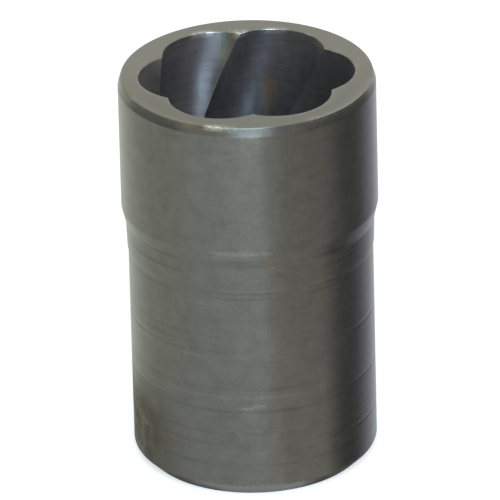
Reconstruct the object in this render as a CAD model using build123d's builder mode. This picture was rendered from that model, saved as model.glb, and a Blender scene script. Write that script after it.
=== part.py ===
from build123d import *

# Twist socket that grips rounded hexagon nuts and screw heads and draws them out.
# It is one piece of turned steel. Its axis is Z: the square drive end stands at Z = 0
# and the fluted mouth faces up. All sizes are in millimetres.

import os
from math import cos, pi, radians, sin, sqrt, tan

# Fluted mouth
fastener_across_flats = 18.8  # a worn hexagon, which was 19 when new
mouth_clearance = 0.06  # radial, round the hexagon at the mouth
flute_count = 6
flute_depth = 20.0
flute_lead = 108.0  # depth in which a flute makes one full left-hand turn
flute_taper = 0.1  # radius lost in each millimetre of depth
flute_levels = 10  # sections that carry the flutes down

# Way through below the flutes
relief_inset = 0.1  # radial, from the ridges at their lower ends to the relief
relief_length = 1.0
drill_point_angle = 118.0
web_thickness = 3.65  # full-thickness wall between the cavity and the drive

# Square drive
drive_size = 12.7
drive_clearance = 0.14  # across the flats
drive_depth = 16.0
drive_corner_radius = 0.8
drive_lead_in = 0.5
drive_ledge = 0.92  # step from the drive's flats in to the through hole
detent_height = 6.4
detent_ball_radius = 3.0
detent_depth = 1.0

# Turned outside, from the mouth down
mouth_wall = 2.085  # steel outside the flutes' hollows
mouth_bevel_width = 0.3
mouth_bevel_height = 0.95
mouth_edge_rounding = 0.3  # where the bevel meets the mouth's face
band_length = 14.0
shoulder_length = 1.78
shoulder_step = 0.42
neck_length = 2.88
neck_fall = 0.09
body_step = 0.09
base_chamfer = 1.25

# Faint tool lines round the lower body
tool_line_heights = (5.3, 10.4, 16.3)
tool_line_depth = 0.07

# Sizes that follow
ridge_radius = fastener_across_flats / 2 + mouth_clearance
crown_radius = fastener_across_flats / 2 / cos(pi / flute_count) + mouth_clearance
band_radius = crown_radius + mouth_wall
rim_radius = band_radius - mouth_bevel_width
neck_head_radius = band_radius - shoulder_step
neck_foot_radius = neck_head_radius - neck_fall
body_radius = neck_foot_radius - body_step

drive_width = drive_size + drive_clearance
hole_radius = drive_width / 2 - drive_ledge
relief_radius = ridge_radius - flute_taper * flute_depth - relief_inset
drill_point_height = (relief_radius - hole_radius) / tan(radians(drill_point_angle / 2))

relief_height = drive_depth + web_thickness + drill_point_height
flute_floor_height = relief_height + relief_length
total_height = flute_floor_height + flute_depth
band_top_height = total_height - mouth_bevel_height
band_foot_height = total_height - band_length
neck_head_height = band_foot_height - shoulder_length
neck_foot_height = neck_head_height - neck_length


def polar(radius, angle):
    return radius * cos(radians(angle)), radius * sin(radians(angle))


# The mouth's outline at one depth: equal arcs from ridge to ridge, each through the
# crown of its flute, drawn in by the taper and turned by the lead.
def flute_arcs(depth):
    pitch_angle = 360 / flute_count
    turned = 360 * depth / flute_lead
    drawn_in = flute_taper * depth
    for flute in range(flute_count):
        crown_angle = flute * pitch_angle + turned
        ThreePointArc(
            polar(ridge_radius - drawn_in, crown_angle - pitch_angle / 2),
            polar(crown_radius - drawn_in, crown_angle),
            polar(ridge_radius - drawn_in, crown_angle + pitch_angle / 2),
        )


with BuildPart() as extractor_socket:
    # Outside, as turned from the bar: body, neck, shoulder, wide band and bevelled mouth
    with BuildSketch(Plane.XZ):
        with BuildLine():
            Polyline(
                (0, 0),
                (body_radius, 0),
                (body_radius, neck_foot_height),
                (neck_foot_radius, neck_foot_height),
                (neck_head_radius, neck_head_height),
                (band_radius, band_foot_height),
                (band_radius, band_top_height),
                (rim_radius, total_height),
                (0, total_height),
                close=True,
            )
        make_face()
    revolve(axis=Axis.Z)
    turned_rims = extractor_socket.edges().filter_by(GeomType.CIRCLE).sort_by(Axis.Z)
    fillet(turned_rims[-1], radius=mouth_edge_rounding)
    chamfer(turned_rims[0], length=base_chamfer)

    # Tool lines, each a V cut by a square set on its corner
    with BuildSketch(Plane.XZ):
        for line_height in tool_line_heights:
            with Locations((body_radius, line_height)):
                Rectangle(tool_line_depth * sqrt(2), tool_line_depth * sqrt(2), rotation=45)
    revolve(axis=Axis.Z, mode=Mode.SUBTRACT)

    # Left-hand flutes, carried down from the mouth through turned and tapered sections
    for level in range(flute_levels + 1):
        section_depth = flute_depth * level / flute_levels
        with BuildSketch(Plane.XY.offset(total_height - section_depth)):
            with BuildLine():
                flute_arcs(section_depth)
            make_face()
    loft(mode=Mode.SUBTRACT)

    # Relief below the flutes, with its drill point, and the hole on through the web
    with Locations((0, 0, relief_height)):
        CounterSinkHole(
            radius=hole_radius,
            counter_sink_radius=relief_radius,
            counter_sink_angle=drill_point_angle,
        )

    # Square drive with rounded corners and a bevelled entry
    with BuildSketch(Plane.XY):
        RectangleRounded(drive_width, drive_width, drive_corner_radius)
    extrude(amount=drive_depth, mode=Mode.SUBTRACT)
    base_face = extractor_socket.faces().sort_by(Axis.Z)[0]
    chamfer(base_face.inner_wires()[0].edges(), length=drive_lead_in)

    # A hollow in each wall of the drive for the driver's ball, its seam on the open side
    with Locations((0, 0, detent_height)):
        with PolarLocations(drive_width / 2 + detent_depth - detent_ball_radius, 4):
            Sphere(detent_ball_radius, rotation=(0, 0, 180), mode=Mode.SUBTRACT)

extractor_socket.part.label = "extractor_socket"
os.makedirs("parts", exist_ok=True)
export_step(extractor_socket.part, "parts/extractor_socket.step")
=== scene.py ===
import math

import bpy
import numpy as np
from mathutils import Matrix, Vector


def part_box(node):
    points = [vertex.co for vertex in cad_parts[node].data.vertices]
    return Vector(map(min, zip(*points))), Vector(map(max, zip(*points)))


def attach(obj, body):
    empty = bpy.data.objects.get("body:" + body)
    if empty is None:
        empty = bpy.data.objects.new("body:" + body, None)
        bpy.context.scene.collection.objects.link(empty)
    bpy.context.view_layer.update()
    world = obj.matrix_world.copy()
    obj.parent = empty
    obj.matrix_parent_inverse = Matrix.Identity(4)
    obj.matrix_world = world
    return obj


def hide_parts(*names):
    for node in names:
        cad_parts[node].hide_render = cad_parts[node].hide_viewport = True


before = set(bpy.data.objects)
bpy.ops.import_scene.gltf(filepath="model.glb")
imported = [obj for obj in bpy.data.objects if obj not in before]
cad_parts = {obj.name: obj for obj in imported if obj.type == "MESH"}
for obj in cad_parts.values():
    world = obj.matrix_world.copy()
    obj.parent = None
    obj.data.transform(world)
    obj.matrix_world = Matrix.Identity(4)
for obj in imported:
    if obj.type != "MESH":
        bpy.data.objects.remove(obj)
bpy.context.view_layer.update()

nodeLow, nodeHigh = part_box("extractor_socket")
mm = 0.001
print("frame loaded")


# Small helpers

def hexColour(code):
    # sRGB hex to linear, one channel at a time
    channels = [int(code[i:i + 2], 16) / 255 for i in (1, 3, 5)]
    linear = [c / 12.92 if c <= 0.04045 else ((c + 0.055) / 1.055) ** 2.4 for c in channels]
    return (*linear, 1.0)


def addNode(tree, kind, inputs=(), **settings):
    # Settings are the node's own properties. Inputs are given in their order or by name, and each is a
    # socket, a node whose first output is meant, a hex colour or a number.
    node = tree.nodes.new("ShaderNode" + kind)
    for name, value in settings.items():
        setattr(node, name, value)
    if isinstance(inputs, dict):
        pairs = [(node.inputs[name], given) for name, given in inputs.items()]
    else:
        pairs = zip([entry for entry in node.inputs if entry.enabled], inputs)
    for entry, given in pairs:
        if isinstance(given, bpy.types.Node):
            given = next(output for output in given.outputs if output.enabled)
        if isinstance(given, bpy.types.NodeSocket):
            tree.links.new(given, entry)
        elif isinstance(given, str):
            entry.default_value = hexColour(given)
        else:
            entry.default_value = given
    return node


def newMaterial(name):
    material = bpy.data.materials.new(name)
    material.use_nodes = True
    material.node_tree.nodes.clear()
    return material, material.node_tree


def addToScene(name, data):
    piece = bpy.data.objects.new(name, data)
    bpy.context.scene.collection.objects.link(piece)
    return piece


def wayTo(side, rise):
    # the way to what stands so many degrees right of the front and so many degrees up
    side, rise = math.radians(side), math.radians(rise)
    return Vector((math.sin(side) * math.cos(rise), -math.cos(side) * math.cos(rise), math.sin(rise)))


# Patterns for the materials

spotCore = 0.3  # share of a spot's half width that has its full strength


def lumps(tree, place, size, stretch, detail, roughness):
    # noise whose lumps are about size mm across, drawn out along the axes by stretch
    scale = tuple(1 / (size * mm * s) for s in stretch)
    spread = addNode(tree, "Mapping", {"Vector": place, "Scale": scale})
    return addNode(tree, "TexNoise", {
        "Vector": spread, "Scale": 1.0, "Detail": detail, "Roughness": roughness})


def weighted(tree, patterns, shares):
    # the sum of the patterns, each times its share
    total = 0.0
    for pattern, share in zip(patterns, shares):
        total = addNode(tree, "Math", (pattern, share, total), operation="MULTIPLY_ADD")
    return total


def levelWay(tree, place):
    # the way of turned and broached marks: level, across the axis and across the way out from it
    around = addNode(tree, "VectorMath", ((0, 0, 1), place), operation="CROSS_PRODUCT")
    return addNode(tree, "VectorMath", (around,), operation="NORMALIZE")


def ringsAround(tree, place, rings):
    # the sum of soft rings about the axis, each a peak at its height that falls to 0 at its half width
    level = addNode(tree, "SeparateXYZ", (place,)).outputs["Z"]
    total = 0.0
    for height, halfWidth, amount in rings:
        above = addNode(tree, "Math", (level, height * mm), operation="SUBTRACT")
        away = addNode(tree, "Math", (above,), operation="ABSOLUTE")
        ring = addNode(tree, "MapRange", (away, 0, halfWidth * mm, amount, 0))
        total = addNode(tree, "Math", (total, ring), operation="ADD")
    return total


def spotsOn(tree, place, spots):
    # 1 in the middle of a spot, 0 outside them all. Heights are squeezed, so that an oval spot is round.
    total = 0.0
    for side, radius, height, halfWidth, halfHeight in spots:
        squeeze = halfWidth / halfHeight
        middle = wayTo(side, 0) * radius * mm
        middle.z = height * squeeze * mm
        squeezed = addNode(tree, "VectorMath", (place, (1, 1, squeeze)), operation="MULTIPLY")
        away = addNode(tree, "VectorMath", (squeezed, middle), operation="DISTANCE")
        spot = addNode(tree, "MapRange", (away, spotCore * halfWidth * mm, halfWidth * mm, 1, 0))
        total = addNode(tree, "Math", (total, spot), operation="MAXIMUM")
    return total


# The socket, one turned and broached piece. Sizes are in millimetres, angles in degrees, and places round
# the outside in degrees right of the front.

socket = {
    "flutes": 6,
    "acrossFlats": 18.8,        # worn hexagon that the mouth grips
    "mouthClearance": 0.06,
    "fluteDepth": 20.0,
    "fluteLead": 108.0,         # depth for one full left-hand turn
    "fluteTaper": 0.1,
    "ridgeRound": 0.01,         # softness of the biting ridges
    "reliefInset": 0.1,
    "reliefLength": 1.0,
    "drillPointAngle": 118.0,
    "driveWidth": 12.84,
    "driveDepth": 16.0,
    "driveCorner": 0.8,
    "driveLeadIn": 0.5,
    "driveLedge": 0.92,
    "detentHeight": 6.4,
    "detentBall": 3.0,
    "detentDepth": 1.0,
    "bevelWidth": 0.3,
    "bevelHeight": 0.95,
    "rimRounding": 0.2,
    "bandLength": 14.0,
    "shoulderLength": 1.78,
    "shoulderStep": 0.42,
    "neckLength": 2.88,
    "neckFall": 0.09,
    "bodyStep": 0.09,
    "bodyStepRise": 0.06,       # the step to the body leans a little
    "baseChamfer": 1.25,
    "toolLines": (5.3, 10.4, 16.3),
    "toolLineDepth": 0.055,
    "toolLineHalfWidth": 0.2,
    "toolLineWear": 0.8,        # share of their depth that is worn off in front
    "toolLineWearPower": 12,    # the higher, the narrower the worn stretch
    "columns": 480,             # a multiple of twice the flutes
    "crowding": 0.6,            # how much closer the columns stand at the ridges
    # rows on the drive's wall as shares of its length: a few, and from, to and how many across the hollows
    "wallRows": (0.01, 0.15, 0.35, 0.99),
    "hollowRows": (0.43, 0.8, 18),
    "wearReach": 0.16,          # how far wear spreads from an edge
    # edges rubbed bright: edge, from and to in degrees, reach, how much
    "rubbedEdges": (
        ("rim", -21, -15, 0.26, 1.0),
        ("rim", -70, -30, 0.5, 0.1),
        ("rim", -13, -10.5, 0.26, 0.35),
        ("rim", 26, 78, 0.38, 0.14),
        ("bevelFoot", -5, 1, 0.45, 0.08),
        ("bandFoot", -18, 4, 0.24, 0.1),
        ("bodyFoot", -32, 18, 0.24, 0.12),
        ("mouthEdge", -163, -155, 0.24, 0.7),
        ("mouthEdge", 178, 182, 0.24, 1.0),
        ("mouthEdge", 156, 165, 0.24, 0.5),
        ("mouthEdge", 12, 66, 0.3, 0.14),
        ("mouthEdge", -78, -60, 0.2, 0.15),
    ),
    "rubBlur": 3.0,             # degrees
    # painted shade at the foot's left, standing for the reflection of a shadowed floor: middle in degrees,
    # height, half width and half height
    "footShade": (-76.0, 4.4, 6.4, 5.2),
    # painted shade: a contact shadow on the foot's bevel, and a dark reflection on the rim's bevel at the
    # right: from and to in degrees, how much
    "footBevelShade": ((-50, -40, 0.8), (27, 62, 0.9)),
    "footBevelShadeBlur": 8.0,            # degrees
    "footBevelShadeEdge": 0.2,            # how softly the painted shade ends at the bevel's edges
    "rimBevelShadeSpan": (25, 42, 0.42),
    "rimBevelShadeBlur": 10.0,            # degrees
    "rimBevelShadeEdge": 0.1,
}

# Sizes that follow. The height and the band's radius come from the frame.
socketHeight = (nodeHigh.z - nodeLow.z) / mm
bandRadius = (nodeHigh.x - nodeLow.x) / 2 / mm
neckHead = bandRadius - socket["shoulderStep"]
neckFoot = neckHead - socket["neckFall"]
bodyRadius = neckFoot - socket["bodyStep"]
ledgeHeight = socketHeight - socket["fluteDepth"]
reliefHeight = ledgeHeight - socket["reliefLength"]
halfPitch = math.pi / socket["flutes"]


def lobeRadius(phase, ridge, crown):
    # The mouth's outline: an arc through ridge, crown and ridge, read as a radius at the angle phase
    # from the flute's crown. From chord and rise come the arc's radius and its centre's distance.
    chord = ridge * math.sin(halfPitch)
    rise = crown - ridge * math.cos(halfPitch)
    arc = (chord ** 2 + rise ** 2) / (2 * rise)
    centre = crown - arc
    radius = centre * np.cos(phase) + np.sqrt(arc ** 2 - (centre * np.sin(phase)) ** 2)
    # the ridge is blunted: height over the ridge becomes the root of its square and the softness squared
    return ridge + np.hypot(radius - ridge, socket["ridgeRound"])


def fromFlat(angle):
    # the angle from the middle of the nearest of the drive's four flats
    return (angle + math.pi / 4) % (math.pi / 2) - math.pi / 4


def squareRadius(angle, width, corner):
    # A rounded square read as a radius: flat over cosine on the flats, and on the corners the far crossing
    # of the ray with the corner's circle.
    off = fromFlat(angle)
    half = width / 2
    flat = half / np.cos(off)
    inset = half - corner
    along = inset * (np.cos(off) + np.abs(np.sin(off)))
    rounded = along + np.sqrt(np.maximum(along ** 2 - 2 * inset ** 2 + corner ** 2, 0))
    return np.where(np.abs(half * np.tan(off)) > inset, rounded, flat)


def dimpleRadius(angle, level):
    # Where a ray from the axis leaves the ball that hollows the middle of each flat; 0 where it misses
    off = fromFlat(angle)
    ball = socket["detentBall"]
    centre = socket["driveWidth"] / 2 + socket["detentDepth"] - ball
    inside = ball ** 2 - (level - socket["detentHeight"]) ** 2 - (centre * np.sin(off)) ** 2
    return np.where(inside > 0, centre * np.cos(off) + np.sqrt(np.maximum(inside, 0)), 0)


def roundedLoop(corners, roundings, arcSteps, runs):
    # A closed section with rounded corners, for all columns at once. Each corner becomes an arc that
    # touches both its sides, swung evenly from one touching point to the other, and each side gets rows at
    # the given shares of its length. Returns rows x columns x (radius, height) and each row's side, which
    # is half a step below its corner's number on an arc.
    count = len(corners)
    starts, ends, arcs = [], [], []
    for k in range(count):
        here = corners[k]
        back = corners[k - 1] - here
        ahead = corners[(k + 1) % count] - here
        back /= np.linalg.norm(back, axis=1, keepdims=True)
        ahead /= np.linalg.norm(ahead, axis=1, keepdims=True)
        half = np.arccos(np.clip((back * ahead).sum(1), -1, 1))[:, None] / 2
        middle = back + ahead
        middle /= np.linalg.norm(middle, axis=1, keepdims=True)
        reach = roundings[k] / np.tan(half)
        centre = here + middle * roundings[k] / np.sin(half)
        first = here + back * reach
        last = here + ahead * reach
        swing = math.pi - 2 * half
        arc = []
        for share in np.linspace(0, 1, arcSteps[k] + 1):
            spoke = np.sin((1 - share) * swing) * (first - centre) + np.sin(share * swing) * (last - centre)
            arc.append(centre + spoke / np.sin(swing))
        arcs.append(arc)
        starts.append(last)
        ends.append(first)
    rows, sides = [], []
    for k in range(count):
        rows += arcs[k]
        sides += [k - 0.5] * len(arcs[k])
        following = ends[(k + 1) % count]
        for share in runs[k]:
            rows.append(starts[k] + (following - starts[k]) * share)
            sides.append(k)
    return np.array(rows), np.array(sides)


def evenShares(count, lead):
    # rows along a side: one close to each end, to hold the flat, and an even spread between
    inner = np.linspace(0, 1, count + 2)[1:-1]
    return np.concatenate([[lead], inner, [1 - lead]])


def socketPlan(phaseAngle):
    # The section's corners, counterclockwise from the foot: name, radius, height, rounding, steps of its
    # arc, and rows on the side that follows. The mouth's and the drive's radii change round the socket.
    size = socket
    ridge = size["acrossFlats"] / 2 + size["mouthClearance"]
    crown = size["acrossFlats"] / 2 / math.cos(halfPitch) + size["mouthClearance"]
    drawnIn = size["fluteTaper"] * size["fluteDepth"]
    lobePhase = (phaseAngle + halfPitch) % (2 * halfPitch) - halfPitch
    mouth = lobeRadius(lobePhase, ridge, crown)
    fluteFoot = lobeRadius(lobePhase, ridge - drawnIn, crown - drawnIn)

    relief = ridge - drawnIn - size["reliefInset"]
    hole = size["driveWidth"] / 2 - size["driveLedge"]
    holeTop = reliefHeight - (relief - hole) / math.tan(math.radians(size["drillPointAngle"] / 2))
    leadIn = size["driveLeadIn"]
    drive = squareRadius(phaseAngle, size["driveWidth"], size["driveCorner"])
    driveMouth = squareRadius(phaseAngle, size["driveWidth"] + 2 * leadIn, size["driveCorner"] + leadIn)
    wallRows = np.sort(np.concatenate([size["wallRows"], np.linspace(*size["hollowRows"])]))

    bandFootHeight = socketHeight - size["bandLength"]
    neckHeadHeight = bandFootHeight - size["shoulderLength"]
    neckFootHeight = neckHeadHeight - size["neckLength"]
    plan = [
        ("base", bodyRadius - size["baseChamfer"], 0, 0.2, 3, evenShares(1, 0.1)),
        ("bodyFoot", bodyRadius, size["baseChamfer"], 0.5, 4, evenShares(1, 0.05)),
    ]
    # the tool lines are worn in front, by a power of the cosine of half the angle from there
    worn = size["toolLineWear"] * np.cos((phaseAngle + math.pi / 2) / 2) ** size["toolLineWearPower"]
    lineBottom = bodyRadius - size["toolLineDepth"] * (1 - worn)
    for line in size["toolLines"]:
        plan += [
            ("lineFoot", bodyRadius, line - size["toolLineHalfWidth"], 0.3, 1, []),
            ("lineBottom", lineBottom, line, 0.2, 1, []),
            ("lineHead", bodyRadius, line + size["toolLineHalfWidth"], 0.3, 1, evenShares(1, 0.05)),
        ]
    plan += [
        ("bodyHead", bodyRadius, neckFootHeight, 0.05, 2, []),
        ("neckFoot", neckFoot, neckFootHeight + size["bodyStepRise"], 0.05, 2, evenShares(1, 0.05)),
        ("neckHead", neckHead, neckHeadHeight, 1.2, 5, evenShares(1, 0.05)),
        ("bandFoot", bandRadius, bandFootHeight, 1.0, 5, evenShares(3, 0.03)),
        ("bevelFoot", bandRadius, socketHeight - size["bevelHeight"], 0.25, 4, evenShares(1, 0.08)),
        ("rim", bandRadius - size["bevelWidth"], socketHeight, size["rimRounding"], 8, evenShares(2, 0.05)),
        ("mouthEdge", mouth, socketHeight, 0.12, 4, evenShares(36, 0.003)),
        ("fluteFoot", fluteFoot, ledgeHeight, 0.12, 3, [0.5]),
        ("reliefHead", relief, ledgeHeight, 0.03, 2, evenShares(1, 0.08)),
        ("reliefFoot", relief, reliefHeight, 0.1, 3, evenShares(1, 0.08)),
        ("holeHead", hole, holeTop, 0.1, 3, evenShares(5, 0.05)),
        ("holeFoot", hole, size["driveDepth"], 0.08, 3, [0.5]),
        ("driveCeiling", drive, size["driveDepth"], 0.15, 3, wallRows),
        ("leadIn", drive, leadIn, 0.12, 3, [0.5]),
        ("driveMouth", driveMouth, 0, 0.1, 3, evenShares(1, 0.06)),
    ]
    return plan


def softWindow(value, low, high, blur):
    # 1 between low and high, falling to 0 over the blur outside them
    return np.clip(1 - np.maximum(low - value, value - high) / blur, 0, 1)


def turnFrom(rightOfFront, middle):
    # degrees round from the middle, the shorter way
    return (rightOfFront - middle + 180) % 360 - 180


def sector(rightOfFront, low, high, blur):
    # a soft window from one angle round to another
    half = (high - low) / 2
    return softWindow(turnFrom(rightOfFront, (low + high) / 2), -half, half, blur)


def nearEdge(section, edge, reach):
    # 1 on the edge, falling off by the exponential of minus the square of distance over reach
    return np.exp(-(np.linalg.norm(section - edge, axis=-1) / reach) ** 2)


def socketMarks(section, angle, sides, at, corners):
    # What grinding, use and age did to the surface, and where shade is painted, as shares from 0 to 1 for
    # rows x columns
    size = socket
    radius, level = section[:, :, 0], section[:, :, 1]
    rightOfFront = np.degrees(angle) + 90
    outside = (sides <= at["mouthEdge"] - 1)[:, None]

    # thin wear along the two edges that get knocked, and streaks that are rubbed bright
    edgeWear = np.zeros_like(radius)
    for name in ("base", "mouthEdge"):
        edgeWear = np.maximum(edgeWear, nearEdge(section, corners[at[name]], size["wearReach"]))
    rub = np.zeros_like(radius)
    for name, low, high, reach, amount in size["rubbedEdges"]:
        along = sector(rightOfFront, low, high, size["rubBlur"])
        rub = np.maximum(rub, amount * along * nearEdge(section, corners[at[name]], reach))

    # the painted shade at the foot is full in its middle and falls off by the fourth power across and the
    # third power up
    middle, footShadeHeight, halfWidth, halfHeight = size["footShade"]
    across = np.radians(turnFrom(rightOfFront, middle)) * radius / halfWidth
    upwards = np.abs(level - footShadeHeight) / halfHeight
    paintedShadeAndPits = np.exp(-across ** 4 - upwards ** 3) * outside
    # painted contact shadow on the foot's bevel, at both sides
    onBevel = softWindow(level, -math.inf, size["baseChamfer"], size["footBevelShadeEdge"])
    onBevel *= softWindow(radius, bodyRadius - size["baseChamfer"], math.inf, size["footBevelShadeEdge"])
    for low, high, amount in size["footBevelShade"]:
        bevelShadeHere = amount * sector(rightOfFront, low, high, size["footBevelShadeBlur"]) * onBevel * outside
        paintedShadeAndPits = np.maximum(paintedShadeAndPits, bevelShadeHere)

    # painted shade on the rim's bevel at the right, a dark reflection
    low, high, amount = size["rimBevelShadeSpan"]
    onBevel = softWindow(
        level, socketHeight - size["bevelHeight"], socketHeight - size["rimRounding"], size["rimBevelShadeEdge"])
    rimBevelShade = amount * sector(rightOfFront, low, high, size["rimBevelShadeBlur"]) * onBevel * outside

    # the mouth's face is ground, from the flutes out to the middle of the rim's rounding
    ground = (sides >= at["rim"] - 0.5) & (sides < at["mouthEdge"] + 0.5)
    face = ground[:, None] * np.clip(1 - 2 * (socketHeight - level) / size["rimRounding"], 0, 1)
    return {"edgeWear": edgeWear, "rub": rub, "paintedShadeAndPits": paintedShadeAndPits, "rimBevelShade": rimBevelShade, "face": face}


def buildSocket():
    size = socket
    columns = size["columns"]
    # columns crowd towards the ridges: even steps, plus a share of the sine of the angle times the flutes
    even = np.arange(columns) * 2 * math.pi / columns
    phaseAngle = even + size["crowding"] * np.sin(size["flutes"] * even) / size["flutes"]
    names, radii, levels, roundings, arcSteps, runs = zip(*socketPlan(phaseAngle))
    at = {name: k for k, name in enumerate(names)}
    corners = np.zeros((len(names), columns, 2))
    for k in range(len(names)):
        corners[k, :, 0] = radii[k]
        corners[k, :, 1] = levels[k]
    section, sides = roundedLoop(corners, roundings, arcSteps, runs)

    # The columns turn with the flutes. The cone and the hole below turn them back, evenly down to the drive,
    # so that they stand straight through the square and round to the outside.
    radius, level = section[:, :, 0], section[:, :, 1]
    inside = (sides > at["mouthEdge"] - 1)[:, None]
    turned = 2 * math.pi * np.clip(socketHeight - level, 0, size["fluteDepth"]) / size["fluteLead"]
    kept = np.clip((level - size["driveDepth"]) / (reliefHeight - size["driveDepth"]), 0, 1)
    angle = phaseAngle + turned * kept * inside
    onDrive = (sides == at["driveCeiling"])[:, None]
    radius = np.where(onDrive, np.maximum(radius, dimpleRadius(angle, level)), radius)
    section = np.stack([radius, level], -1)

    points = np.stack([radius * np.cos(angle), radius * np.sin(angle), level], -1).reshape(-1, 3) * mm
    rows = len(section)
    row, column = np.meshgrid(np.arange(rows), np.arange(columns), indexing="ij")
    here, following = row * columns, (row + 1) % rows * columns
    beside = (column + 1) % columns
    faces = np.stack([here + column, here + beside, following + beside, following + column], -1)
    faces = faces.reshape(-1, 4)

    mesh = bpy.data.meshes.new("extractorSocket")
    mesh.vertices.add(len(points))
    mesh.vertices.foreach_set("co", points.ravel())
    mesh.loops.add(faces.size)
    mesh.loops.foreach_set("vertex_index", faces.ravel())
    mesh.polygons.add(len(faces))
    mesh.polygons.foreach_set("loop_start", np.arange(len(faces)) * 4)
    mesh.polygons.foreach_set("loop_total", np.full(len(faces), 4))
    mesh.polygons.foreach_set("use_smooth", np.ones(len(faces), bool))
    # the flutes' faces take the second material
    fluted = (sides >= at["mouthEdge"]) & (sides < at["fluteFoot"])
    mesh.polygons.foreach_set("material_index", np.repeat(fluted, columns).astype(np.int32))
    mesh.update(calc_edges=True)
    mesh.validate()

    # the ridges bite, so the shading breaks at the edges that run down a ridge's column in the flutes
    ends = np.empty(len(mesh.edges) * 2, np.int32)
    mesh.edges.foreach_get("vertices", ends)
    endRow, endColumn = np.divmod(ends.reshape(-1, 2), columns)
    columnsApart = columns // size["flutes"]
    onRidge = (endColumn % columnsApart == columnsApart // 2) & (endColumn == endColumn[:, :1])
    mesh.edges.foreach_set("use_edge_sharp", (onRidge & fluted[endRow]).all(1))

    for name, values in socketMarks(section, angle, sides, at, corners).items():
        layer = mesh.attributes.new(name, "FLOAT", "POINT")
        layer.data.foreach_set("value", values.ravel().astype(np.float32))
    print("socket surface:", rows, "rows,", len(faces) * 2, "triangles")
    return mesh


# Phosphated steel: turned, quenched and phosphated. It gives a matt olive grey with a broad soft sheen,
# finely grained, ringed by the tool's feed, and bright where the edges are rubbed through.
phosphatedSteel = {
    "dark": "#5D5A51",
    "light": "#767269",
    "bareSteel": "#DCDCD6",
    # colour of the painted shade at the foot, and of the pits
    "paintedShadeAndPits": "#4C4028",
    # colour of the painted shade on the rim's bevel
    "rimBevelShade": "#33322B",
    "face": "#848376",
    "metallic": (0.85, 0.1),         # of the coat, and of full painted shade and pits
    "roughness": (0.3, 0.36),        # between the crystals and on them
    "rubbedRoughness": 0.2,
    "shadeAndPitRoughness": 0.75,
    "anisotropy": 0.7,               # the turned grooves draw a highlight out along the axis
    # patterns: size in mm, stretch along the three axes, detail, roughness
    "cloud": (1.6, (1, 1, 1), 4.0, 0.55),     # patches of thicker coat
    "grain": (0.3, (1, 1, 1), 3.0, 0.55),     # crystals of the coat
    "feed": (0.3, (20, 20, 1), 3.0, 0.65),    # the tool's feed, drawn coarser than the real 0.1
    "fading": (7.0, (1, 1, 1), 1.0, 0.55),    # where the rings fade out
    # shares of cloud, grain, feed and rings in the shade, and the range from dark to light
    "shadeShares": (0.45, 0.3, 0.2, 0.26),
    "shadeRange": (0.24, 0.72),
    # shares of grain, feed and rings in the height of the surface
    "bumpShares": (0.5, 0.65, 1.0),
    "bumpStrength": 0.3,
    "bumpDepth": 0.03,               # mm
    # how patterns break up what lies on the coat: from and to in the pattern, and the shares there
    "ringsByFading": (0.38, 0.58, 0.1, 1.0),
    "shadeByCloud": (0.35, 0.6, 0.45, 1.0),
    "wearByCloud": (0.5, 0.7, 0.0, 0.35),
    "rubByGrain": (0.3, 0.5, 0.0, 1.0),
    # soft rings that the tool left, and at 26.4 mm painted shade in the shoulder's foot: height and half
    # width in mm, lighter or darker
    "rings": (
        (3.7, 0.24, -0.5), (6.0, 0.22, -0.4), (7.3, 0.24, -0.5), (9.8, 0.24, -0.7), (11.4, 0.28, 0.6),
        (12.3, 0.24, -0.5), (15.8, 0.28, 0.6), (17.2, 0.24, -0.5), (18.1, 0.28, -0.4), (22.5, 0.28, -0.7),
        (23.4, 0.4, 0.4), (25.0, 0.28, -0.9), (26.4, 0.4, -1.2)),
    # pits and scuffs: degrees right of the front, radius, height, half width and half height in mm
    "pits": ((33, 13.0, 35.6, 0.12, 0.12), (-31, 12.4, 18.8, 0.1, 0.1)),
    "scuffs": ((-6.5, 12.4, 10.2, 1.0, 0.26), (-1, 12.4, 10.45, 0.9, 0.3)),
    "scuffShare": 0.1,
}

quarterTurn = 0.25  # turns a highlight from along the level marks to across them


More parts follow.
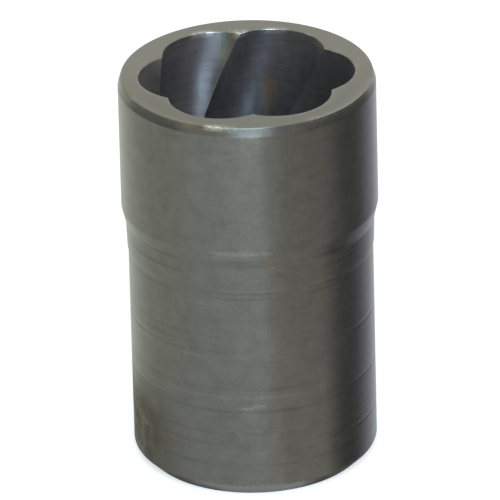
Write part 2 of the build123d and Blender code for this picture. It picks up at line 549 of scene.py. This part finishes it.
def makePhosphatedSteel():
    steel = phosphatedSteel
    material, tree = newMaterial("phosphatedSteel")
    place = addNode(tree, "TexCoord").outputs["Object"]
    cloud, grain, feed, fading = [
        lumps(tree, place, *steel[name]) for name in ("cloud", "grain", "feed", "fading")]
    wear, rub, paintedShadeAndPits, rimBevelShade, face = [
        addNode(tree, "Attribute", attribute_name=name).outputs["Fac"]
        for name in ("edgeWear", "rub", "paintedShadeAndPits", "rimBevelShade", "face")]
    unfaded = addNode(tree, "MapRange", (fading, *steel["ringsByFading"]))
    rings = addNode(tree, "Math", (ringsAround(tree, place, steel["rings"]), unfaded), operation="MULTIPLY")

    # what lies on the coat: painted shade and pits, then thin wear, rubbed streaks and scuffs down to bare
    # steel
    patchy = addNode(tree, "MapRange", (cloud, *steel["shadeByCloud"]))
    shadedAndPitted = addNode(tree, "Math", (paintedShadeAndPits, patchy), operation="MULTIPLY")
    shadedAndPitted = addNode(tree, "Math", (shadedAndPitted, spotsOn(tree, place, steel["pits"])), operation="MAXIMUM")
    patchy = addNode(tree, "MapRange", (cloud, *steel["wearByCloud"]))
    worn = addNode(tree, "Math", (wear, patchy), operation="MULTIPLY")
    scuffs = spotsOn(tree, place, steel["scuffs"])
    scuffed = addNode(tree, "Math", (scuffs, steel["scuffShare"]), operation="MULTIPLY")
    rubbed = addNode(tree, "Math", (rub, scuffed), operation="MAXIMUM")
    grainy = addNode(tree, "MapRange", (grain, *steel["rubByGrain"]))
    rubbed = addNode(tree, "Math", (rubbed, grainy), operation="MULTIPLY")
    bare = addNode(tree, "Math", (worn, rubbed), operation="MAXIMUM")

    shade = weighted(tree, (cloud, grain, feed, rings), steel["shadeShares"])
    lightness = addNode(tree, "MapRange", (shade, *steel["shadeRange"], 0, 1))
    colour = addNode(tree, "Mix", (lightness, steel["dark"], steel["light"]), data_type="RGBA")
    # in turn: painted shade on the rim's bevel, the face, painted shade at the foot and pits, then bare
    # steel
    for share, tone in ((rimBevelShade, "rimBevelShade"), (face, "face"), (shadedAndPitted, "paintedShadeAndPits"), (bare, "bareSteel")):
        colour = addNode(tree, "Mix", (share, colour, steel[tone]), data_type="RGBA")
    metallic = addNode(tree, "MapRange", (shadedAndPitted, 0, 1, *steel["metallic"]))
    rough = addNode(tree, "MapRange", (grain, 0, 1, *steel["roughness"]))
    for share, target in ((bare, "rubbedRoughness"), (shadedAndPitted, "shadeAndPitRoughness")):
        rough = addNode(tree, "Mix", (share, rough, steel[target]), data_type="FLOAT")
    bump = addNode(tree, "Bump", {
        "Strength": steel["bumpStrength"], "Distance": steel["bumpDepth"] * mm,
        "Height": weighted(tree, (grain, feed, rings), steel["bumpShares"])})
    shader = addNode(tree, "BsdfPrincipled", {
        "Base Color": colour, "Metallic": metallic, "Roughness": rough, "Normal": bump,
        "Anisotropic": steel["anisotropy"], "Anisotropic Rotation": quarterTurn,
        "Tangent": levelWay(tree, place)})
    addNode(tree, "OutputMaterial", (shader,))
    return material


# Broached steel: the flutes, cut by a stepped broach and tempered. It gives a smoother, bluer grey whose
# highlight is drawn out down the flute by the fine marks across it.
broachedSteel = {
    "dark": "#635E5E",
    "light": "#797372",
    "bareSteel": "#C8C8C2",
    "metallic": 0.7,
    "roughness": 0.39,
    "anisotropy": 0.75,
    # patterns: size in mm, stretch along the three axes, detail, roughness
    "chatter": (0.28, (12, 12, 1), 3.0, 0.6),     # marks that the broach leaves across the flute
    "streak": (1.2, (1, 1, 3), 4.0, 0.55),        # scoring down the flute
    # shares of streak and chatter in the shade, and the range from dark to light
    "shadeShares": (0.5, 0.5),
    "shadeRange": (0.35, 0.65),
    "bumpStrength": 0.5,
    "bumpDepth": 0.03,                            # mm
    # how the streaks break up what lies on the steel: from and to in them, and the shares there
    "patchByStreak": (0.35, 0.6, 0.4, 1.0),
    "wearByStreak": (0.5, 0.7, 0.0, 0.35),
    # thin rust, then painted highlights and painted shade on the flutes: degrees right of the front, radius,
    # height, half width and half height in mm, colour, how much
    "patches": (
        (164.5, 10.2, 34.7, 1.2, 2.6, "#AC8A68", 0.65),
        (172, 10.1, 33.2, 1.6, 3.4, "#8E9CA2", 0.6),
        (-169.5, 9.8, 40.0, 1.3, 2.0, "#93A08C", 0.45),
        (-154.5, 10.0, 36.2, 1.3, 3.0, "#9CA8AE", 0.27),
        (-162, 10.3, 39.7, 1.2, 2.2, "#4C5052", 0.45),
        (-113, 9.4, 38.8, 2.7, 3.8, "#2C2B1C", 0.75),
        (-140, 10.4, 37.3, 2.6, 3.4, "#2E2D2C", 0.4),
    ),
}


def makeBroachedSteel():
    steel = broachedSteel
    material, tree = newMaterial("broachedSteel")
    place = addNode(tree, "TexCoord").outputs["Object"]
    chatter, streak = [lumps(tree, place, *steel[name]) for name in ("chatter", "streak")]
    wear, rub = [
        addNode(tree, "Attribute", attribute_name=name).outputs["Fac"] for name in ("edgeWear", "rub")]
    shade = weighted(tree, (streak, chatter), steel["shadeShares"])
    lightness = addNode(tree, "MapRange", (shade, *steel["shadeRange"], 0, 1))
    colour = addNode(tree, "Mix", (lightness, steel["dark"], steel["light"]), data_type="RGBA")
    patchy = addNode(tree, "MapRange", (streak, *steel["patchByStreak"]))
    # each patch lays rust, a painted highlight or painted shade on the flutes
    for *spot, tone, amount in steel["patches"]:
        patch = addNode(tree, "Math", (spotsOn(tree, place, [spot]), patchy), operation="MULTIPLY")
        share = addNode(tree, "Math", (patch, amount), operation="MULTIPLY")
        colour = addNode(tree, "Mix", (share, colour, tone), data_type="RGBA")
    patchy = addNode(tree, "MapRange", (streak, *steel["wearByStreak"]))
    worn = addNode(tree, "Math", (wear, patchy), operation="MULTIPLY")
    bare = addNode(tree, "Math", (worn, rub), operation="MAXIMUM")
    colour = addNode(tree, "Mix", (bare, colour, steel["bareSteel"]), data_type="RGBA")
    bump = addNode(tree, "Bump", {
        "Strength": steel["bumpStrength"], "Distance": steel["bumpDepth"] * mm, "Height": chatter})
    shader = addNode(tree, "BsdfPrincipled", {
        "Base Color": colour, "Metallic": steel["metallic"], "Roughness": steel["roughness"],
        "Normal": bump, "Anisotropic": steel["anisotropy"], "Anisotropic Rotation": quarterTurn,
        "Tangent": levelWay(tree, place)})
    addNode(tree, "OutputMaterial", (shader,))
    return material


socketPiece = addToScene("extractorSocket", buildSocket())
socketPiece.data.materials.append(makePhosphatedSteel())
socketPiece.data.materials.append(makeBroachedSteel())
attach(socketPiece, "root")
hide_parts("extractor_socket")
print("socket built")


# Stage: white paper, soft lamps in front, and a shaded card, screens and a room that only reflections show

studio = {
    "floorSize": 3.0,                # m
    "floorColour": "#E8E8E8",
    "floorGlow": 0.6,
    "mirroredGlow": 0.45,            # the paper's glow in reflections
    "mirroredNear": 0.76,            # share of that glow close to the socket: painted shadow
    "nearReach": (0.02, 0.09),       # m from the axis, where that share ends
    "mirroredUnder": (0.9, 0.05),    # share under the foot's edge, in front and at the sides: painted shadow
    "underReach": (-0.011, -0.0102),    # y in m, from in front to the sides
    "underEdge": (0.0122, 0.0138),      # m from the axis, where the foot's edge ends
    "mirroredLeft": 1.22,            # gain of the paper at the left, behind the socket: painted light
    "gainWay": (-0.5, 0.87, 0),      # where the gain is greatest
    "gainRange": (0.55, 0.95),       # cosine to that way, without the gain and with it
    "leftTint": "#FDFFD8",           # of what stands at the left, in reflections
    "tintWay": (-0.9, 0.44, 0),
    "tintRange": (0.5, 0.8),
    "worldStrength": 0.45,
    # the room in reflections: brightness, and from and to in the parts of the ray's way
    "roomLeft": 0.6,
    "roomRight": 0.4,
    "roomAcross": (-0.2, 0.2),       # x, from roomLeft to roomRight
    "whiteBehind": (-0.35, 0.05),    # y, from the room in front to white behind
    "whiteAbove": (0.35, 0.6),       # z and a share of y, from the room to white above
    "aboveLean": 0.5,                # that share
    "rightWall": 1.35,
    "wallSide": (0.45, 0.65),        # x, where the wall starts
    "wallFoot": (0.15, 0.25),        # z
    "tintSide": (-0.1, -0.5),        # x, where the left tint starts
    "lampColour": "#C6E4FF",
    "lampDistance": 0.5,             # m
    # tall soft lamps: degrees right of the front, rise in degrees, width and height in m, power in W
    "lamps": ((-0.5, 25.0, 0.27, 0.47, 0.9), (0.0, 42.0, 0.2, 0.25, 1.35)),
    # screens that stand beside the paper: x, from y and to y in m, height in m, shade
    "leftScreen": (-0.2, -0.1, 0.14, 0.2, 0.2),
    "rightScreen": (0.2, -0.2, 0.12, 0.09, 0.06),
    # a grey card close behind the mouth: y, half width, from and to height in m, shade
    "backCard": (0.032, 0.03, 0.057, 0.085, 0.6),
}

# The card that lies at the right: sizes in mm, angles in degrees right of the front on the socket's side
sideCard = {
    "angles": (4.0, 74.0),           # where the side first and last shows the card
    "rulings": 55,
    "lift": 0.3,
    "distances": (0.0, 5.0, 25.0, 50.0, 75.0, 300.0),
    "nearTo": 25.0,                  # the near shades reach this far, and the far ones start at farFrom
    "farFrom": 75.0,
    "tint": "#EDEBFF",
    "tinted": (40.0, 50.0),          # angles from plain to tinted
    # angle, shade far from the socket and near it
    "shades": (
        (4, 0.98, 0.98), (7, 0.8, 0.9), (12, 0.58, 0.79), (18, 0.46, 0.74), (25, 0.46, 0.77),
        (34, 0.55, 0.78), (38, 0.36, 0.38), (43, 0.2, 0.15), (50, 0.1, 0.09), (56, 0.13, 0.13),
        (60, 0.38, 0.38), (64, 0.5, 0.5), (68, 0.74, 0.74), (74, 0.85, 0.85)),
}


def rayShare(tree, kinds):
    # 1 for the kinds of ray that are named, 0 for all others
    path = addNode(tree, "LightPath")
    share = 0.0
    for kind in kinds:
        share = addNode(tree, "Math", (share, path.outputs[kind]), operation="MAXIMUM")
    return share


def makeFloor():
    half = studio["floorSize"] / 2
    mesh = bpy.data.meshes.new("floor")
    corners = [(-half, -half, 0), (half, -half, 0), (half, half, 0), (-half, half, 0)]
    mesh.from_pydata(corners, [], [(0, 1, 2, 3)])
    floor = addToScene("floor", mesh)

    # White paper: matt, with a glow that keeps it white to the eye and is shaped apart for reflections
    material, tree = newMaterial("whitePaper")
    place = addNode(tree, "TexCoord").outputs["Object"]
    backwards = addNode(tree, "SeparateXYZ", (place,)).outputs["Y"]
    outwards = addNode(tree, "VectorMath", (place,), operation="LENGTH")
    # in reflections the glow is dimmed near the socket and under the foot's edge, a painted shadow
    under = addNode(tree, "MapRange", (backwards, *studio["underReach"], *studio["mirroredUnder"]))
    near = addNode(tree, "MapRange", (outwards, *studio["nearReach"], studio["mirroredNear"], 1))
    clear = addNode(tree, "MapRange", (outwards, *studio["underEdge"], 0, 1))
    share = addNode(tree, "Mix", (clear, under, near), data_type="FLOAT")
    inMirror = addNode(tree, "Math", (share, studio["mirroredGlow"]), operation="MULTIPLY")
    # and raised at the left, behind the socket, as painted light
    way = addNode(tree, "VectorMath", (place,), operation="NORMALIZE")
    lean = addNode(tree, "VectorMath", (way, studio["gainWay"]), operation="DOT_PRODUCT")
    gain = addNode(tree, "MapRange", (lean, *studio["gainRange"], 1, studio["mirroredLeft"]))
    inMirror = addNode(tree, "Math", (inMirror, gain), operation="MULTIPLY")

    mirrored = rayShare(tree, ["Is Glossy Ray"])
    seen = rayShare(tree, ["Is Camera Ray", "Is Glossy Ray", "Is Transmission Ray"])
    strength = addNode(tree, "Mix", (mirrored, studio["floorGlow"], inMirror), data_type="FLOAT")
    strength = addNode(tree, "Math", (seen, strength), operation="MULTIPLY")
    lean = addNode(tree, "VectorMath", (way, studio["tintWay"]), operation="DOT_PRODUCT")
    atLeft = addNode(tree, "MapRange", (lean, *studio["tintRange"], 0, 1))
    atLeft = addNode(tree, "Math", (atLeft, mirrored), operation="MULTIPLY")
    tint = addNode(tree, "Mix", (atLeft, "#FFFFFF", studio["leftTint"]), data_type="RGBA")
    glow = addNode(tree, "Emission", (tint, strength))
    paper = addNode(tree, "BsdfDiffuse", (studio["floorColour"],))
    both = addNode(tree, "AddShader", (paper, glow))
    addNode(tree, "OutputMaterial", (both,))
    material.cycles.emission_sampling = "NONE"
    mesh.materials.append(material)


def makeGreyCard():
    # Grey card, as reflections see it: it glows in its own shades and takes no light
    material, tree = newMaterial("greyCard")
    shade = addNode(tree, "Attribute", attribute_name="shade").outputs["Color"]
    glow = addNode(tree, "Emission", (shade, 1.0))
    addNode(tree, "OutputMaterial", (glow,))
    material.cycles.emission_sampling = "NONE"
    return material


def addCard(name, points, faces, shades, material):
    # a card that is seen in reflections alone and throws no shadow, with a linear colour for each point
    mesh = bpy.data.meshes.new(name)
    mesh.from_pydata(points, [], faces)
    layer = mesh.attributes.new("shade", "FLOAT_COLOR", "POINT")
    layer.data.foreach_set("color", np.ravel(shades).astype(np.float32))
    mesh.materials.append(material)
    piece = addToScene(name, mesh)
    for flag in ("camera", "diffuse", "transmission", "volume_scatter", "shadow"):
        setattr(piece, "visible_" + flag, False)


def addScreen(name, corners, shade, material):
    # an upright card of one shade
    addCard(name, corners, [(0, 1, 2, 3)], [(shade, shade, shade, 1)] * 4, material)


def addSideCard(material):
    # Each ruling of the card starts at the socket's side, at an angle right of the front, and runs outwards
    # at twice that angle, the way that the side there mirrors the viewer in front.
    card = sideCard
    angles = np.radians(np.linspace(*card["angles"], card["rulings"]))
    angle, away = np.meshgrid(angles, card["distances"], indexing="ij")
    x = bandRadius * np.sin(angle) + away * np.sin(2 * angle)
    y = -bandRadius * np.cos(angle) - away * np.cos(2 * angle)
    points = np.stack([x, y, np.full_like(x, card["lift"])], -1).reshape(-1, 3) * mm
    across = len(card["distances"])
    ruling, step = np.meshgrid(np.arange(len(angles) - 1), np.arange(across - 1), indexing="ij")
    corner = ruling * across + step
    faces = np.stack([corner, corner + 1, corner + across + 1, corner + across], -1).reshape(-1, 4)

    degrees = np.degrees(angle)
    knots, far, near = zip(*card["shades"])
    farShare = np.clip((away - card["nearTo"]) / (card["farFrom"] - card["nearTo"]), 0, 1)
    shades = farShare * np.interp(degrees, knots, far) + (1 - farShare) * np.interp(degrees, knots, near)
    plainTo, tintedFrom = card["tinted"]
    tinted = np.clip((degrees - plainTo) / (tintedFrom - plainTo), 0, 1)[..., None]
    tint = (1 - tinted) + tinted * np.array(hexColour(card["tint"]))
    addCard("sideCard", points.tolist(), faces.tolist(), shades[..., None] * tint, material)


def makeWorld():
    # White to the eye. In reflections it is white behind the socket, above and at the right, and a dimmer
    # room in front.
    world = bpy.data.worlds.new("studio")
    bpy.context.scene.world = world
    world.use_nodes = True
    world.cycles.sampling_method = "NONE"
    tree = world.node_tree
    tree.nodes.clear()
    way = addNode(tree, "TexCoord").outputs["Generated"]
    x, y, z = addNode(tree, "SeparateXYZ", (way,)).outputs
    behind = addNode(tree, "MapRange", (y, *studio["whiteBehind"], 0, 1))
    raised = addNode(tree, "Math", (y, studio["aboveLean"], z), operation="MULTIPLY_ADD")
    above = addNode(tree, "MapRange", (raised, *studio["whiteAbove"], 0, 1))
    white = addNode(tree, "Math", (behind, above), operation="MAXIMUM")
    room = addNode(tree, "MapRange", (x, *studio["roomAcross"], studio["roomLeft"], studio["roomRight"]))
    inMirror = addNode(tree, "Mix", (white, room, 1.0), data_type="FLOAT")
    atRight = addNode(tree, "MapRange", (x, *studio["wallSide"], 0, studio["rightWall"]))
    wallHeight = addNode(tree, "MapRange", (z, *studio["wallFoot"], 0, 1))
    wall = addNode(tree, "Math", (atRight, wallHeight), operation="MULTIPLY")
    inMirror = addNode(tree, "Math", (inMirror, wall), operation="MAXIMUM")

    mirrored = rayShare(tree, ["Is Glossy Ray"])
    seen = rayShare(tree, ["Is Camera Ray", "Is Transmission Ray"])
    plain = addNode(tree, "MapRange", (seen, 0, 1, studio["worldStrength"], 1))
    strength = addNode(tree, "Mix", (mirrored, plain, inMirror), data_type="FLOAT")
    atLeft = addNode(tree, "MapRange", (x, *studio["tintSide"], 0, 1))
    atLeft = addNode(tree, "Math", (atLeft, mirrored), operation="MULTIPLY")
    tint = addNode(tree, "Mix", (atLeft, "#FFFFFF", studio["leftTint"]), data_type="RGBA")
    back = addNode(tree, "Background", (tint, strength))
    addNode(tree, "OutputWorld", (back,))


def addLamp(name, side, rise, width, height, power):
    # a soft lamp aimed at the mouth
    away = wayTo(side, rise)
    lamp = bpy.data.lights.new(name, "AREA")
    lamp.shape = "RECTANGLE"
    lamp.size = width
    lamp.size_y = height
    lamp.energy = power
    lamp.color = hexColour(studio["lampColour"])[:3]
    holder = addToScene(name, lamp)
    holder.location = Vector((0, 0, nodeHigh.z)) + away * studio["lampDistance"]
    holder.rotation_euler = (-away).to_track_quat("-Z", "Y").to_euler()
    holder.visible_camera = False


makeFloor()
greyCard = makeGreyCard()
addSideCard(greyCard)
for side in ("leftScreen", "rightScreen"):
    x, fromY, toY, head, shade = studio[side]
    corners = [(x, fromY, 0), (x, toY, 0), (x, toY, head), (x, fromY, head)]
    addScreen(side, corners, shade, greyCard)
y, half, foot, head, shade = studio["backCard"]
corners = [(-half, y, foot), (half, y, foot), (half, y, head), (-half, y, head)]
addScreen("backCard", corners, shade, greyCard)
makeWorld()
for lampName, lampPlace in zip(("lowLamp", "highLamp"), studio["lamps"]):
    addLamp(lampName, *lampPlace)
print("stage set")


# Camera: a long lens that looks down on the mouth

cameraView = {
    "distance": 1.0,          # m
    "lens": 710.6,            # mm
    "sensor": 36.0,           # mm
    "farthest": 10.0,         # m, what it still sees
    "elevation": 26.4,        # degrees
    "turned": -3.0,           # degrees round the socket's axis
    "roll": -0.0255,          # radians
    "aimRight": -0.108,       # mm, from the socket's axis
    "aimUp": 1.06,            # mm, from the socket's mid height
}


def makeCamera():
    view = cameraView
    turned = math.radians(view["turned"])
    right = Vector((math.cos(turned), math.sin(turned), 0))
    back = wayTo(view["turned"], view["elevation"])
    up = back.cross(right)
    aim = Vector((0, 0, nodeHigh.z / 2 + view["aimUp"] * mm)) + right * view["aimRight"] * mm
    data = bpy.data.cameras.new("camera")
    data.lens = view["lens"]
    data.sensor_width = view["sensor"]
    data.clip_end = view["farthest"]
    cosRoll, sinRoll = math.cos(view["roll"]), math.sin(view["roll"])
    rolledRight = right * cosRoll + up * sinRoll
    rolledUp = up * cosRoll - right * sinRoll
    axes = Matrix((rolledRight, rolledUp, back)).transposed().to_4x4()
    camera = addToScene("camera", data)
    camera.matrix_world = Matrix.Translation(aim + back * view["distance"]) @ axes
    bpy.context.scene.camera = camera


makeCamera()
bpy.context.scene.view_settings.view_transform = "Standard"
print("camera placed")
